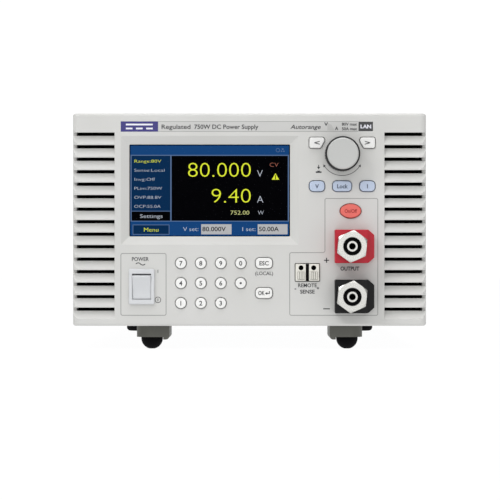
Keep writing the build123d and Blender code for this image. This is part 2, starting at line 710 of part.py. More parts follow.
def fan_rotor():
    """Hub, seven raked blades and the spindle."""
    d0, d1 = REAR_PANEL_DEPTH - 23.5, REAR_PANEL_DEPTH - 6.5
    x, z = FAN_CENTRE
    ring = rod(DUCT_RADIUS - 0.9, x, z, d0, d1) - rod(15.0, x, z, d0 - 1, d1 + 1)
    rotor = rod(16.5, x, z, d0, d1)
    rotor = fillet(front_edges(rotor), 1.5)
    blades = 7
    for i in range(blades):
        turn = Rot(0, 360 / blades * i, 0)
        blade = Pos(x, at((d0 + d1) / 2), z) * turn * Pos(27.0, 0, 0) * Rot(48, 0, 0) * Box(26.0, 24.0, 1.4)
        rotor += blade & ring
    return rotor + rod(1.5, x, z, d1 - 0.1, REAR_PANEL_DEPTH - 2.0)


def fan_guard():
    """Wire finger guard: rings on two crossing bars, with an eye at each corner."""
    x, z = FAN_CENTRE
    wire = 0.8
    depth = REAR_FACE + wire + 0.05
    place = Pos(x, at(depth + 1.1), z) * Rot(90, 0, 0)
    guard = None
    for radius in (10.0, 18.0, 26.0, 34.0):
        ring = place * Torus(radius, wire)
        guard = ring if guard is None else guard + ring
    reach = FAN_HOLE_PITCH / math.sqrt(2)
    for angle, thick in ((45, wire), (135, wire - 0.05)):
        bar = Pos(x, at(depth), z) * Rot(0, angle, 0) * Rot(0, 90, 0) * Cylinder(thick, 2 * reach - 7.0)
        guard += bar
    for hx, hz in hole_squares(FAN_CENTRE, FAN_HOLE_PITCH):
        guard += rod(3.6, hx, hz, REAR_FACE, REAR_FACE + GUARD_EYE)
        guard -= rod(1.75, hx, hz, REAR_FACE - 1, REAR_FACE + 3)
    return guard


def mains_inlet():
    """Three-pin appliance inlet with an eared flange, an open socket and three blades."""
    x, z = INLET_CENTRE
    flange_face = REAR_FACE + 3.0
    flange = prism(RectangleRounded(50.0, 22.4, 6.0), x, z, REAR_FACE, flange_face)
    flange = fillet(flange.faces().sort_by(Axis.Y)[-1].edges(), 0.8)
    body = prism(Rectangle(27.0, 19.8), x, z, REAR_FACE - 18.0, REAR_FACE + 0.1)
    socket = chamfer(Rectangle(24.4, 16.4).vertices().sort_by(Axis.Y)[:2], 4.2)
    inlet = flange + body - prism(socket, x, z, flange_face - 15.0, flange_face + 1)
    for sx, sz in inlet_screw_places():
        inlet -= rod(1.75, sx, sz, REAR_FACE - 1, flange_face + 1)
    for dx, dz in ((-7.0, -2.0), (0.0, 2.0), (7.0, -2.0)):
        inlet += block(x + dx - 1.0, x + dx + 1.0, flange_face - 15.1, flange_face - 3.0, z + dz - 2.0, z + dz + 2.0)
    return inlet


def interface_connectors():
    """Network jack, USB-B socket and nine-way serial connector."""
    x, z = LAN_CENTRE
    lan = prism(Rectangle(16.0, 13.5), x, z, REAR_FACE - 18, REAR_FACE + 1.5)
    lan -= prism(Rectangle(12.0, 7.4), x, z - 0.8, REAR_FACE - 11, REAR_FACE + 3)
    lan -= prism(Rectangle(5.8, 2.6), x, z + 3.9, REAR_FACE - 9, REAR_FACE + 3)
    x, z = USB_CENTRE
    usb = prism(Rectangle(12.0, 11.0), x, z, REAR_FACE - 16, REAR_FACE + 1.0)
    mouth = chamfer(Rectangle(8.6, 7.9).vertices().sort_by(Axis.Y)[2:], 1.6)
    usb -= prism(mouth, x, z, REAR_FACE - 9, REAR_FACE + 2)
    usb += prism(Rectangle(5.6, 3.0), x, z, REAR_FACE - 9.1, REAR_FACE - 1.0)
    x, z = SERIAL_CENTRE
    serial = prism(RectangleRounded(30.8, 12.5, 1.0), x, z, REAR_FACE, REAR_FACE + 1.0)
    serial += prism(Rectangle(19.6, 11.2), x, z, REAR_FACE - 9, REAR_FACE + 0.1)
    shell = Trapezoid(17.6, 8.4, 80)
    serial += prism(fillet(shell.vertices(), 1.6), x, z, REAR_FACE + 0.9, CASE_DEPTH + REAR_REACH)
    for dx in (-12.5, 12.5):
        nut = prism(RegularPolygon(2.7, 6), x + dx, z, REAR_FACE + 1.0, CASE_DEPTH + REAR_REACH - 1)
        serial += nut - rod(1.2, x + dx, z, REAR_FACE + 1.2, CASE_DEPTH + REAR_REACH)
    for row, count in ((1.4, 5), (-1.4, 4)):
        for i in range(count):
            pin_x = x + (i - (count - 1) / 2) * 2.75
            serial -= rod(0.6, pin_x, z + row, REAR_FACE + 2, CASE_DEPTH + REAR_REACH + 1)
    return [lan, usb, serial]


# Power electronics


BOARD_TOP = BASE_Z + 11.0 + BOARD_THICKNESS


def main_board():
    return block(-97.0, 97.0, 40.0, 352.0, BASE_Z + 11.0, BOARD_TOP)


def heatsinks():
    """Two extrusions, fins outwards, along the sides of the main board."""
    sinks = []
    for side in (-1, 1):
        ends = sorted((side * 54.0, side * 59.0))
        sink = block(*ends, 120.0, 300.0, BOARD_TOP, 118.0)
        for i in range(10):
            z0 = BOARD_TOP + 3.0 + i * 8.8
            fin_ends = sorted((side * 58.5, side * 90.0))
            sink += block(*fin_ends, 120.0, 300.0, z0, z0 + 2.2)
        sinks.append(sink)
    return sinks


def transformer_core():
    core = block(-30.0, 30.0, 216.0, 252.0, BOARD_TOP + 2.0, BOARD_TOP + 62.0)
    core -= block(-20.0, -9.0, 215.0, 253.0, BOARD_TOP + 12.0, BOARD_TOP + 52.0)
    return core - block(9.0, 20.0, 215.0, 253.0, BOARD_TOP + 12.0, BOARD_TOP + 52.0)


def transformer_winding():
    """Bobbin and winding round the core's middle leg."""
    coil = block(-19.5, 19.5, 206.0, 262.0, BOARD_TOP + 12.5, BOARD_TOP + 51.5)
    coil = fillet(coil.edges().filter_by(Axis.Z), 9.0)
    leg = block(-9.2, 9.2, 215.8, 252.2, BOARD_TOP + 10.0, BOARD_TOP + 54.0)
    return coil - leg


def bulk_capacitors():
    """Four electrolytic cans, each with the crimp below its top."""
    cans = []
    for x in (-24.0, 14.0):
        for depth in (80.0, 118.0):
            can = post(15.0, x, depth, BOARD_TOP, BOARD_TOP + 50.0)
            can = fillet(can.faces().sort_by(Axis.Z)[-1].edges(), 1.5)
            crimp = Pos(x, at(depth), BOARD_TOP + 4.0) * Torus(15.6, 1.2)
            cans.append(can - crimp)
    return cans


def output_busbars():
    """Copper straps from the studs' rear ends down to the main board."""
    straps = []
    for name, offset_x, depth in (("positive", -18.0, 20.0), ("negative", 0.0, 20.0)):
        z = OUTPUT_Z[name]
        x = OUTPUT_X + offset_x
        eye = block(min(x, OUTPUT_X) - 7.5, OUTPUT_X + 7.5, depth, depth + 2.0, z - 7.5, z + 7.5)
        eye += block(x - 7.5, x + 7.5, depth, depth + 2.0, BOARD_TOP, z)
        eye += block(x - 7.5, x + 7.5, depth, 62.0, BOARD_TOP, BOARD_TOP + 2.0)
        straps.append(eye - rod(4.05, OUTPUT_X, z, depth - 1, depth + 3))
    return straps


def all_nodes():
    """Every node as name: shape, or a list of separate solids."""
    leg = tilt_leg()
    foot = front_foot()
    pad = front_pad()
    rubber = rear_foot()
    nodes = {
        "front_bezel": front_bezel(),
        "base_tray": base_tray(),
        "top_cover": top_cover(),
        "rear_panel": rear_panel(),
        "case_screws": case_screws(),
        "front_feet": [foot, mirrored(foot)],
        "rubber_feet": [pad, mirrored(pad), rubber, mirrored(rubber)],
        "tilt_leg_right": leg,
        "tilt_leg_left": mirrored(leg),
        "display_window": display_window(),
        "lcd_module": lcd_module(),
        "circuit_boards": [control_board(), main_board()],
        "key_mat": key_mat(),
        "encoder_body": encoder_body(),
        "encoder_plunger": encoder_plunger(),
        "encoder_shaft": encoder_shaft(),
        "knob_grip": knob_grip(),
        "knob_cap": knob_cap(),
        "rocker_housing": rocker_housing(),
        "rocker_button": rocker_button(),
        "sense_housing": sense_housing(),
        "terminal_studs": [terminal_stud(z) for z in OUTPUT_Z.values()],
        "socket_liners": [socket_liner(z) for z in OUTPUT_Z.values()],
        "fan_frame": fan_frame(),
        "fan_rotor": fan_rotor(),
        "fan_guard": fan_guard(),
        "mains_inlet": mains_inlet(),
        "interface_connectors": interface_connectors(),
        "heatsinks": heatsinks(),
        "transformer_core": transformer_core(),
        "transformer_winding": transformer_winding(),
        "bulk_capacitors": bulk_capacitors(),
        "output_busbars": output_busbars(),
    }
    for name, key in key_table().items():
        nodes[name] = key_cap(*key)
    for name, x in sense_centres().items():
        nodes[f"sense_lever_{name}"] = sense_lever(x)
    for name, z in OUTPUT_Z.items():
        nodes[f"terminal_shroud_{name}"] = terminal_shroud(z)
        nodes[f"clamp_washer_{name}"] = clamp_washer(z)
        nodes[f"terminal_nut_{name}"] = terminal_nut(z)
    return nodes


os.makedirs("parts", exist_ok=True)
for node, shape in all_nodes().items():
    solids = Compound(children=list(shape)) if isinstance(shape, list) else shape
    export_step(solids, f"parts/{node}.step")
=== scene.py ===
import json
import math

import bpy
from mathutils import Matrix, Vector


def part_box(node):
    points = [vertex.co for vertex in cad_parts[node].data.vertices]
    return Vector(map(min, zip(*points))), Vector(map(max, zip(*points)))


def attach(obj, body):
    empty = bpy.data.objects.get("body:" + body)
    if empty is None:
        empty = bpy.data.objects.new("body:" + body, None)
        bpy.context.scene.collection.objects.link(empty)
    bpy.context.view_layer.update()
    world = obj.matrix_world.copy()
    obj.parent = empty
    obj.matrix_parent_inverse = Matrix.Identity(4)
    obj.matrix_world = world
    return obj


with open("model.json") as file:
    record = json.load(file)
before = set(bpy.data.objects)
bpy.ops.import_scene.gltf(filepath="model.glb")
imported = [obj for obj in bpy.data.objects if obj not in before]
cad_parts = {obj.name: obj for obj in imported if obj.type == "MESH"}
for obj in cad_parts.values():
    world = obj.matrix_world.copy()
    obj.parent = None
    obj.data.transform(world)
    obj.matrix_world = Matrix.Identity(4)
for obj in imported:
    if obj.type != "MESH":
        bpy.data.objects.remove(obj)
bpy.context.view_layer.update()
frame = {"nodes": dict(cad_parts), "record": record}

# Lengths are in metres. The panel's face looks along -Y.

MM = 0.001
PANEL_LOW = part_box("front_bezel")[0]
FACE_Y = PANEL_LOW.y
REAR_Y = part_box("rear_panel")[1].y
INK_PROUD = 0.03 * MM
INK_THICKNESS = 0.02 * MM


def centre(node):
    """The middle of a node's box."""
    low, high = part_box(node)
    return (low + high) / 2


# Camera: level with the middle of the panel's height, far back, with a long lens.

CAMERA_DISTANCE = 1.44
CAMERA_X = 0.3 * MM
CAMERA_Z = 60.0 * MM
LENS = 172.3

bpy.ops.object.camera_add(
    location=(CAMERA_X, FACE_Y - CAMERA_DISTANCE, CAMERA_Z), rotation=(math.pi / 2, 0, 0)
)
camera = bpy.context.object
camera.data.lens = LENS
camera.data.sensor_width = 36
camera.data.clip_start = 0.05
camera.data.clip_end = 50
bpy.context.scene.camera = camera
bpy.context.scene.view_settings.view_transform = "Standard"


# Materials


def linear(hex_colour):
    """An sRGB hex colour as the linear RGBA that shaders take."""
    value = hex_colour.lstrip("#")
    parts = [int(value[i : i + 2], 16) / 255 for i in (0, 2, 4)]
    return [*(p / 12.92 if p <= 0.04045 else ((p + 0.055) / 1.055) ** 2.4 for p in parts), 1.0]


def per_mm(size_mm):
    """The texture scale that makes a pattern's cell this many millimetres."""
    return 1 / (size_mm * MM)


def add(material, kind, settings=None, links=None):
    """Adds a node. Settings are sockets or properties; links are {socket: (node, output)}."""
    node = material.node_tree.nodes.new(kind)
    for name, value in (settings or {}).items():
        if name == "stops":
            for element, (place, colour) in zip(node.color_ramp.elements, value):
                element.position = place
                element.color = colour
        elif name in node.inputs:
            node.inputs[name].default_value = value
        else:
            setattr(node, name, value)
    for name, (source, output) in (links or {}).items():
        material.node_tree.links.new(source.outputs[output], node.inputs[name])
    return node


def blank(name):
    """A material with no nodes yet."""
    material = bpy.data.materials.new(name)
    material.use_nodes = True
    material.node_tree.nodes.clear()
    return material


def finish(material, settings, links=None):
    """Ends a material in one Principled surface."""
    surface = add(material, "ShaderNodeBsdfPrincipled", settings, links)
    add(material, "ShaderNodeOutputMaterial", None, {"Surface": (surface, "BSDF")})
    return material


def moulded(name, low, high, grain, relief, settings):
    """A moulded or sprayed surface: two close shades over a fine grain, which is also its relief.

    grain is the cell in mm and relief the depth of the texture in mm."""
    material = blank(name)
    place = add(material, "ShaderNodeTexCoord")
    cells = add(
        material,
        "ShaderNodeTexNoise",
        {"Scale": per_mm(grain), "Detail": 3.0, "Roughness": 0.6},
        {"Vector": (place, "Object")},
    )
    drift = add(
        material,
        "ShaderNodeTexNoise",
        {"Scale": per_mm(45), "Detail": 2.0},
        {"Vector": (place, "Object")},
    )
    shade = add(
        material,
        "ShaderNodeValToRGB",
        {"stops": [(0.3, linear(low)), (0.7, linear(high))]},
        {"Fac": (drift, "Fac")},
    )
    bump = add(
        material,
        "ShaderNodeBump",
        {"Distance": relief * MM, "Strength": 0.6},
        {"Height": (cells, "Fac")},
    )
    links = {"Base Color": (shade, "Color"), "Normal": (bump, "Normal")}
    return finish(material, settings, links)


def metal(name, low, high, roughness, lines, relief, along=(1, 1, 1)):
    """A metal with fine lines. lines is their spacing in mm; along stretches them along an axis."""
    material = blank(name)
    place = add(material, "ShaderNodeTexCoord")
    turned = add(
        material, "ShaderNodeMapping", {"Scale": along}, {"Vector": (place, "Object")}
    )
    marks = add(
        material,
        "ShaderNodeTexNoise",
        {"Scale": per_mm(lines), "Detail": 4.0},
        {"Vector": (turned, "Vector")},
    )
    shade = add(
        material,
        "ShaderNodeValToRGB",
        {"stops": [(0.3, linear(low)), (0.7, linear(high))]},
        {"Fac": (marks, "Fac")},
    )
    gloss = add(
        material,
        "ShaderNodeMapRange",
        {"To Min": roughness * 0.75, "To Max": roughness * 1.3},
        {"Value": (marks, "Fac")},
    )
    bump = add(
        material,
        "ShaderNodeBump",
        {"Distance": relief * MM, "Strength": 0.4},
        {"Height": (marks, "Fac")},
    )
    links = {
        "Base Color": (shade, "Color"),
        "Roughness": (gloss, "Result"),
        "Normal": (bump, "Normal"),
    }
    return finish(material, {"Metallic": 1.0}, links)


def lit(name, colour, strength=1.0):
    """A lit patch of the display: it glows in its own colour and hardly reflects."""
    settings = {
        "Base Color": linear("#000000"),
        "Roughness": 0.6,
        "Specular IOR Level": 0.0,
        "Emission Color": linear(colour),
        "Emission Strength": strength,
    }
    return finish(blank(name), settings)


# Injection-moulded ABS with a spark-eroded grain: a soft, even sheen with no mirror.
panel_abs = moulded(
    "moulded_abs_panel", "#c6c6c3", "#cbcbc9", 0.5, 0.012, {"Roughness": 0.5, "IOR": 1.5}
)
# Powder-coated steel: a slightly warmer grey with an orange-peel surface.
powder_coat = moulded(
    "powder_coated_steel", "#c9c8c3", "#cdccc8", 1.4, 0.03, {"Roughness": 0.38, "IOR": 1.5}
)
# Key caps in ABS, moulded in a polished tool and then lightly blasted.
white_cap = moulded(
    "moulded_abs_white", "#e3e3e1", "#e9e9e7", 0.4, 0.006, {"Roughness": 0.42, "IOR": 1.5}
)
blue_cap = moulded(
    "moulded_abs_pale_blue", "#b0bdd2", "#b7c4d8", 0.4, 0.006, {"Roughness": 0.42, "IOR": 1.5}
)
red_cap = moulded(
    "moulded_abs_salmon", "#dd6258", "#e36a60", 0.4, 0.006, {"Roughness": 0.4, "IOR": 1.5}
)
# Painted shade: dark strips at the bottoms of the levers' grip grooves stand in for the shade there.
groove_shade = moulded(
    "painted_groove_shade", "#77766c", "#828177", 0.6, 0.008, {"Roughness": 0.6, "IOR": 1.4}
)
# Rocker and its frame in polished PBT: a clearer highlight than the panel's.
rocker_pbt = moulded(
    "polished_pbt_grey", "#c9cbce", "#cfd1d3", 0.8, 0.004, {"Roughness": 0.28, "IOR": 1.5}
)
# Soft-touch knob grip: nearly black, with a broad dull sheen.
grip_rubber = moulded(
    "soft_touch_black", "#131314", "#1a1a1b", 0.5, 0.01, {"Roughness": 0.62, "IOR": 1.5}
)
# Knob cap in satin-lacquered ABS.
cap_lacquer = moulded(
    "satin_lacquered_cap", "#b3b4b2", "#b9bab8", 0.6, 0.004, {"Roughness": 0.33, "IOR": 1.5}
)
foot_abs = moulded(
    "moulded_abs_foot", "#4c4c46", "#53534c", 0.6, 0.015, {"Roughness": 0.5, "IOR": 1.5}
)
# Moulded rubber for the feet: dark, with almost no highlight. The same near black on the sense clamp's
# gaps is painted shade.
rubber_and_gap_shade = moulded(
    "moulded_rubber_and_gap_shade", "#040406", "#08080a", 0.7, 0.02, {"Roughness": 0.8, "IOR": 1.2}
)
# Terminal blocks in glass-filled nylon: saturated, with a low gloss.
red_nylon = moulded(
    "moulded_nylon_red", "#b10b24", "#ba112b", 0.7, 0.01, {"Roughness": 0.35, "IOR": 1.4}
)
black_nylon = moulded(
    "moulded_nylon_black", "#0b0b0d", "#111113", 0.7, 0.01, {"Roughness": 0.4, "IOR": 1.3}
)
# Black acetal for the liners. The sleeves in the bores take the same near black as painted shade.
black_liner_and_bore_shade = moulded(
    "turned_acetal_black_and_bore_shade", "#020203", "#040405", 0.5, 0.004, {"Roughness": 0.6, "IOR": 1.12}
)
sense_nylon = moulded(
    "moulded_nylon_ivory", "#d9d8cf", "#dedcd4", 0.6, 0.008, {"Roughness": 0.4, "IOR": 1.53}
)
fan_pbt = moulded(
    "moulded_pbt_black", "#0b0b0c", "#111112", 0.9, 0.012, {"Roughness": 0.45, "IOR": 1.55}
)
inlet_pbt = moulded(
    "moulded_pbt_inlet", "#0d0d0e", "#131314", 0.6, 0.01, {"Roughness": 0.4, "IOR": 1.55}
)
silicone = moulded(
    "moulded_silicone_mat", "#1b1c1d", "#222324", 1.2, 0.01, {"Roughness": 0.55, "IOR": 1.41}
)
# Open-cell filter foam, near black: painted shade, so that the louvres' gaps read as black.
louvre_shade_foam = moulded(
    "open_cell_foam_painted_shade", "#040404", "#080808", 1.5, 0.3, {"Roughness": 1.0, "IOR": 1.1}
)
# Sintered ferrite is matt, near black and slightly pitted.
ferrite = moulded(
    "sintered_ferrite", "#1a1a1c", "#26262a", 0.4, 0.03, {"Roughness": 0.7, "IOR": 1.8}
)
# Yellow polyester tape over the winding: smooth and glossy, with a faint ripple.
winding_tape = moulded(
    "polyester_tape", "#c39a1f", "#d4aa2b", 3.0, 0.05, {"Roughness": 0.25, "IOR": 1.6}
)
can_sleeve = moulded(
    "shrink_sleeve_blue", "#16203f", "#1d2a50", 2.0, 0.01, {"Roughness": 0.3, "IOR": 1.53}
)
solder_mask = moulded(
    "solder_mask_green", "#0e4a26", "#14602f", 1.0, 0.02, {"Roughness": 0.3, "IOR": 1.5}
)
# Nickel-plated brass, turned: nearly a mirror, with the faint rings that the lathe leaves.
nickel = metal("nickel_plated_brass", "#bbbbb7", "#cdccc8", 0.26, 0.5, 0.004)
zinc = metal("zinc_plated_steel", "#a9adaf", "#bcc0c2", 0.34, 5.0, 0.004)
screw_zinc = metal("zinc_plated_screw", "#9b9c9d", "#b0b1b2", 0.3, 0.6, 0.004)
turned_steel = metal("turned_steel", "#a3a4a6", "#b6b7b8", 0.28, 0.3, 0.004, (1, 0.2, 1))
stamped_steel = metal("stamped_steel", "#9fa1a2", "#b0b2b3", 0.32, 1.5, 0.004)
tinned_shell = metal("tinned_brass_shell", "#b5b5ae", "#c6c6be", 0.27, 1.2, 0.003)
chromed_wire = metal("chromed_wire", "#b7b8ba", "#c8c9ca", 0.16, 2.0, 0.002)
# Black-anodised extrusion: die lines along its length under a dull dark coat.
extruded = metal("black_anodised_extrusion", "#1a1a1b", "#222223", 0.5, 0.8, 0.01, (1, 0.03, 1))
copper = metal("rolled_copper", "#b2673f", "#c47a50", 0.3, 0.6, 0.003, (1, 1, 0.1))

# Anti-reflection-coated acrylic: all but clear, so the picture's blacks stay black behind it.
window_acrylic = finish(
    blank("coated_acrylic"),
    {
        "Base Color": linear("#0a0c10"),
        "Roughness": 0.1,
        "IOR": 1.49,
        "Specular IOR Level": 0.05,
        "Alpha": 0.03,
    },
)

# Screen-printed ink: matt, slightly raised and nearly flat in colour.
dark_ink = moulded(
    "screen_printed_ink", "#2c2d30", "#333437", 0.3, 0.004, {"Roughness": 0.6, "IOR": 1.5}
)
line_ink = moulded(
    "screen_printed_line", "#858684", "#8d8e8c", 0.3, 0.004, {"Roughness": 0.6, "IOR": 1.5}
)
slate_ink = moulded(
    "slate_ink", "#333f52", "#3a4659", 0.3, 0.004, {"Roughness": 0.6, "IOR": 1.5}
)
maroon_ink = moulded(
    "maroon_ink", "#98181b", "#a11d20", 0.3, 0.004, {"Roughness": 0.6, "IOR": 1.5}
)
badge_film = moulded(
    "violet_badge_film", "#170e68", "#1c1372", 0.8, 0.003, {"Roughness": 0.22, "IOR": 1.55}
)
charcoal_film = moulded(
    "charcoal_badge_film", "#1c1e21", "#222427", 0.8, 0.003, {"Roughness": 0.25, "IOR": 1.55}
)
pale_film = moulded(
    "pale_badge_ink", "#dcdde6", "#e4e5ee", 0.3, 0.003, {"Roughness": 0.4, "IOR": 1.5}
)
band_film = moulded(
    "header_band_tint", "#bfbfbd", "#c3c3c1", 0.3, 0.003, {"Roughness": 0.5, "IOR": 1.5}
)
grey_film = moulded(
    "grey_tint_ink", "#b1b1af", "#b8b8b6", 0.3, 0.003, {"Roughness": 0.5, "IOR": 1.5}
)

# Colours of the lit display
screen_black = lit("display_black", "#030305")
screen_bar = lit("display_bar_blue", "#18457c")
screen_side = lit("display_side_blue", "#0b2d52")
screen_line = lit("display_steel_line", "#566f96")
screen_yellow = lit("display_yellow", "#e4ee3c")
screen_pale = lit("display_pale_text", "#c4ccd8")
screen_field = lit("display_grey_field", "#b9babc")
screen_rose = lit("display_rose", "#b5705f")
screen_cream = lit("display_cream", "#d4d890")
screen_dark = lit("display_dark_text", "#101216")

SLOT_MATERIALS = {
    "panel_plastic": panel_abs,
    "cover_steel": powder_coat,
    "tray_steel": zinc,
    "screw_steel": screw_zinc,
    "foot_plastic": foot_abs,
    "foot_rubber": rubber_and_gap_shade,
    "window_clear": window_acrylic,
    "lcd_frame": stamped_steel,
    "board_green": solder_mask,
    "silicone": silicone,
    "key_white": white_cap,
    "key_blue": blue_cap,
    "key_red": red_cap,
    "knob_black": grip_rubber,
    "knob_light": cap_lacquer,
    "turned_steel": turned_steel,
    "encoder_metal": stamped_steel,
    "rocker_grey": rocker_pbt,
    "sense_plastic": sense_nylon,
    "nickel": nickel,
    "liner_black": black_liner_and_bore_shade,
    "shroud_red": red_nylon,
    "shroud_black": black_nylon,
    "fan_black": fan_pbt,
    "guard_wire": chromed_wire,
    "inlet_black": inlet_pbt,
    "connector_metal": tinned_shell,
    "heatsink_aluminium": extruded,
    "ferrite": ferrite,
    "winding_tape": winding_tape,
    "can_sleeve": can_sleeve,
    "copper": copper,
}

for part in frame["record"]["subparts"]:
    for place in frame["nodes"][part["node"]].material_slots:
        place.material = SLOT_MATERIALS[part["material_slot"]]


# Flat pieces: print on the panel and the picture on the display. Each is drawn in X and Z.

CAP_HEIGHT = 0.73  # a capital's height as a share of the font's size


def deselect():
    """Leaves nothing selected, so that an operator takes only what comes next."""
    bpy.ops.object.select_all(action="DESELECT")


def facing_front(piece, x, y, z):
    """Stands a piece drawn in the XY plane up to face the user, at a place, in its mesh."""
    piece.data.transform(Matrix.Translation((x, y, z)) @ Matrix.Rotation(math.pi / 2, 4, "X"))
    return piece


def lettering(words, cap, x, y, z, align="CENTER", width=None, weight=0.0, slant=0.0):
    """Text whose capitals are cap mm high. x is its anchor and z its base line, in metres.

    weight thickens its strokes by this many mm at each side, width stretches or squeezes the
    whole to this many mm, and slant leans it over like italics."""
    deselect()
    bpy.ops.object.text_add()
    text = bpy.context.object
    text.data.body = words
    text.data.align_x = align
    text.data.size = cap / CAP_HEIGHT
    text.data.offset = weight
    text.data.shear = slant
    text.data.extrude = INK_THICKNESS / MM
    text.data.resolution_u = 3
    bpy.ops.object.convert(target="MESH")
    piece = bpy.context.object
    stretch = width / piece.dimensions.x if width else 1.0
    piece.data.transform(Matrix.Diagonal((stretch * MM, MM, MM, 1)))
    return facing_front(piece, x, y, z)


def patch(x0, x1, z0, z1, y):
    """A thin flat rectangle facing the user."""
    deselect()
    bpy.ops.mesh.primitive_plane_add(size=1)
    piece = bpy.context.object
    piece.data.transform(Matrix.Diagonal((x1 - x0, z1 - z0, 1, 1)))
    return facing_front(piece, (x0 + x1) / 2, y, (z0 + z1) / 2)


def edit(piece):
    """Opens one piece for editing, with all its corners selected."""
    deselect()
    bpy.context.view_layer.objects.active = piece
    piece.select_set(True)
    bpy.ops.object.mode_set(mode="EDIT")
    bpy.ops.mesh.select_mode(type="VERT")
    bpy.ops.mesh.select_all(action="SELECT")


def done():
    """Ends the editing and gives the edited piece back."""
    bpy.ops.object.mode_set(mode="OBJECT")
    return bpy.context.object


def line_frame(x0, x1, z0, z1, y, radius, width, notch=None):
    """A closed line round a rectangle with rounded corners. notch is the (x, z) where its
    upper left corner is cut away, which makes an L."""
    piece = patch(x0, x1, z0, z1, y)
    edit(piece)
    if notch:
        for co, normal in (((notch[0], y, 0), (1, 0, 0)), ((0, y, notch[1]), (0, 0, 1))):
            bpy.ops.mesh.select_all(action="SELECT")
            bpy.ops.mesh.bisect(plane_co=co, plane_no=normal)
        done()
        for face in piece.data.polygons:
            face.select = face.center.x < notch[0] and face.center.z > notch[1]
        bpy.ops.object.mode_set(mode="EDIT")
        bpy.ops.mesh.select_mode(type="FACE")
        bpy.ops.mesh.delete(type="FACE")
        bpy.ops.mesh.select_all(action="SELECT")
        bpy.ops.mesh.dissolve_faces()
        bpy.ops.mesh.select_mode(type="VERT")
        bpy.ops.mesh.select_all(action="SELECT")
        bpy.ops.mesh.dissolve_limited(angle_limit=math.radians(1))
        bpy.ops.mesh.select_all(action="SELECT")
    bpy.ops.mesh.bevel(offset=radius, segments=6, affect="VERTICES")
    bpy.ops.mesh.select_mode(type="FACE")
    bpy.ops.mesh.select_all(action="SELECT")
    bpy.ops.mesh.inset(thickness=width, depth=0)
    bpy.ops.mesh.delete(type="FACE")
    return done()


def thicken(piece, thickness):
    """Gives a flat piece a back, so that it is a closed solid."""
    deselect()
    bpy.context.view_layer.objects.active = piece
    piece.select_set(True)
    solid = piece.modifiers.new("thickness", "SOLIDIFY")
    solid.thickness = thickness
    solid.offset = -1
    bpy.ops.object.modifier_apply(modifier=solid.name)
    return piece


def arc(x, z, y, radius, width, start, end):
    """A flat arc about (x, z), from one angle to another in degrees, anticlockwise."""
    deselect()
    bpy.ops.mesh.primitive_plane_add(size=1)
    piece = bpy.context.object
    edit(piece)
    bpy.ops.mesh.merge(type="CENTER")
    bpy.ops.transform.translate(value=(radius - width / 2, 0, 0))
    bpy.ops.mesh.extrude_region_move(TRANSFORM_OT_translate={"value": (width, 0, 0)})
    bpy.ops.mesh.select_all(action="SELECT")
    steps = max(4, round((end - start) / 5))
    bpy.ops.mesh.spin(steps=steps, angle=math.radians(end - start), center=(0, 0, 0), axis=(0, 0, -1))
    bpy.ops.mesh.select_all(action="SELECT")
    bpy.ops.mesh.normals_make_consistent(inside=False)
    done()
    piece.data.transform(Matrix.Rotation(math.radians(start), 4, "Z"))
    if piece.data.polygons[0].normal.z < 0:
        piece.data.flip_normals()
    return facing_front(piece, x, y, z)


def corner_shape(x, z, y, radius, corners, turn):
    """A flat regular shape with a few corners, such as an arrow head."""
    deselect()
    bpy.ops.mesh.primitive_circle_add(vertices=corners, radius=radius, fill_type="NGON")
    piece = bpy.context.object
    piece.data.transform(Matrix.Rotation(math.radians(turn), 4, "Z"))
    return facing_front(piece, x, y, z)


def keep(name, pieces, material, body):
    """Joins flat pieces into one named piece that rides on a body."""
    deselect()
    for piece in pieces:
        piece.select_set(True)
    bpy.context.view_layer.objects.active = pieces[0]
    if len(pieces) > 1:
        bpy.ops.object.join()
    whole = bpy.context.view_layer.objects.active
    whole.name = name
    whole.data.name = name
    whole.data.materials.clear()
    whole.data.materials.append(material)
    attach(whole, body)
    return whole


# Dust filters behind the louvres, near black: painted shade for the louvres' gaps

FILTER_X = (79.6 * MM, 103.6 * MM)
FILTER_Z = (20.0 * MM, 136.0 * MM)
FILTER_Y = FACE_Y + 13.0 * MM
GAUZE_THICKNESS = 1.0 * MM
RIM_THICKNESS, RIM_WIDTH, RIM_CORNER = 1.2 * MM, 1.6 * MM, 2.0 * MM


def dust_filter(name, side):
    """Foam gauze in a raised frame, clipped behind one side's louvres; its near black is painted shade
    for their gaps.
    """
    ends = sorted((side * FILTER_X[0], side * FILTER_X[1]))
    sheet = thicken(patch(*ends, *FILTER_Z, FILTER_Y), GAUZE_THICKNESS)
    outline = line_frame(*ends, *FILTER_Z, FILTER_Y - RIM_THICKNESS, RIM_CORNER, RIM_WIDTH)
    rim = thicken(outline, RIM_THICKNESS)
    keep(f"dust_filter_{name}", [sheet, rim], louvre_shade_foam, "chassis")


for name, side in (("left", -1), ("right", 1)):
    dust_filter(name, side)


# Near-black sleeves in the bores: painted shade

SLEEVE_WALL = 0.13 * MM
SLEEVE_FLOOR = 0.6 * MM
SLEEVE_INSET = 0.35 * MM


def bore_sleeve(name, x, mouth, z, radius, length):
    """A near-black cup inside a bore, open towards the user: painted shade for the bore's depth."""
    deselect()
    bpy.ops.mesh.primitive_cylinder_add(vertices=48, radius=radius, depth=length)
    cup = bpy.context.object
    edit(cup)
    bpy.ops.mesh.select_all(action="DESELECT")
    done()
    for face in cup.data.polygons:
        face.select = face.normal.z > 0.9
    bpy.ops.object.mode_set(mode="EDIT")
    bpy.ops.mesh.select_mode(type="FACE")
    bpy.ops.mesh.inset(thickness=SLEEVE_WALL, depth=0)
    bpy.ops.mesh.inset(thickness=0, depth=SLEEVE_FLOOR - length)
    done()
    facing_front(cup, x, mouth + SLEEVE_INSET + length / 2, z)
    keep(name, [cup], black_liner_and_bore_shade, "chassis")


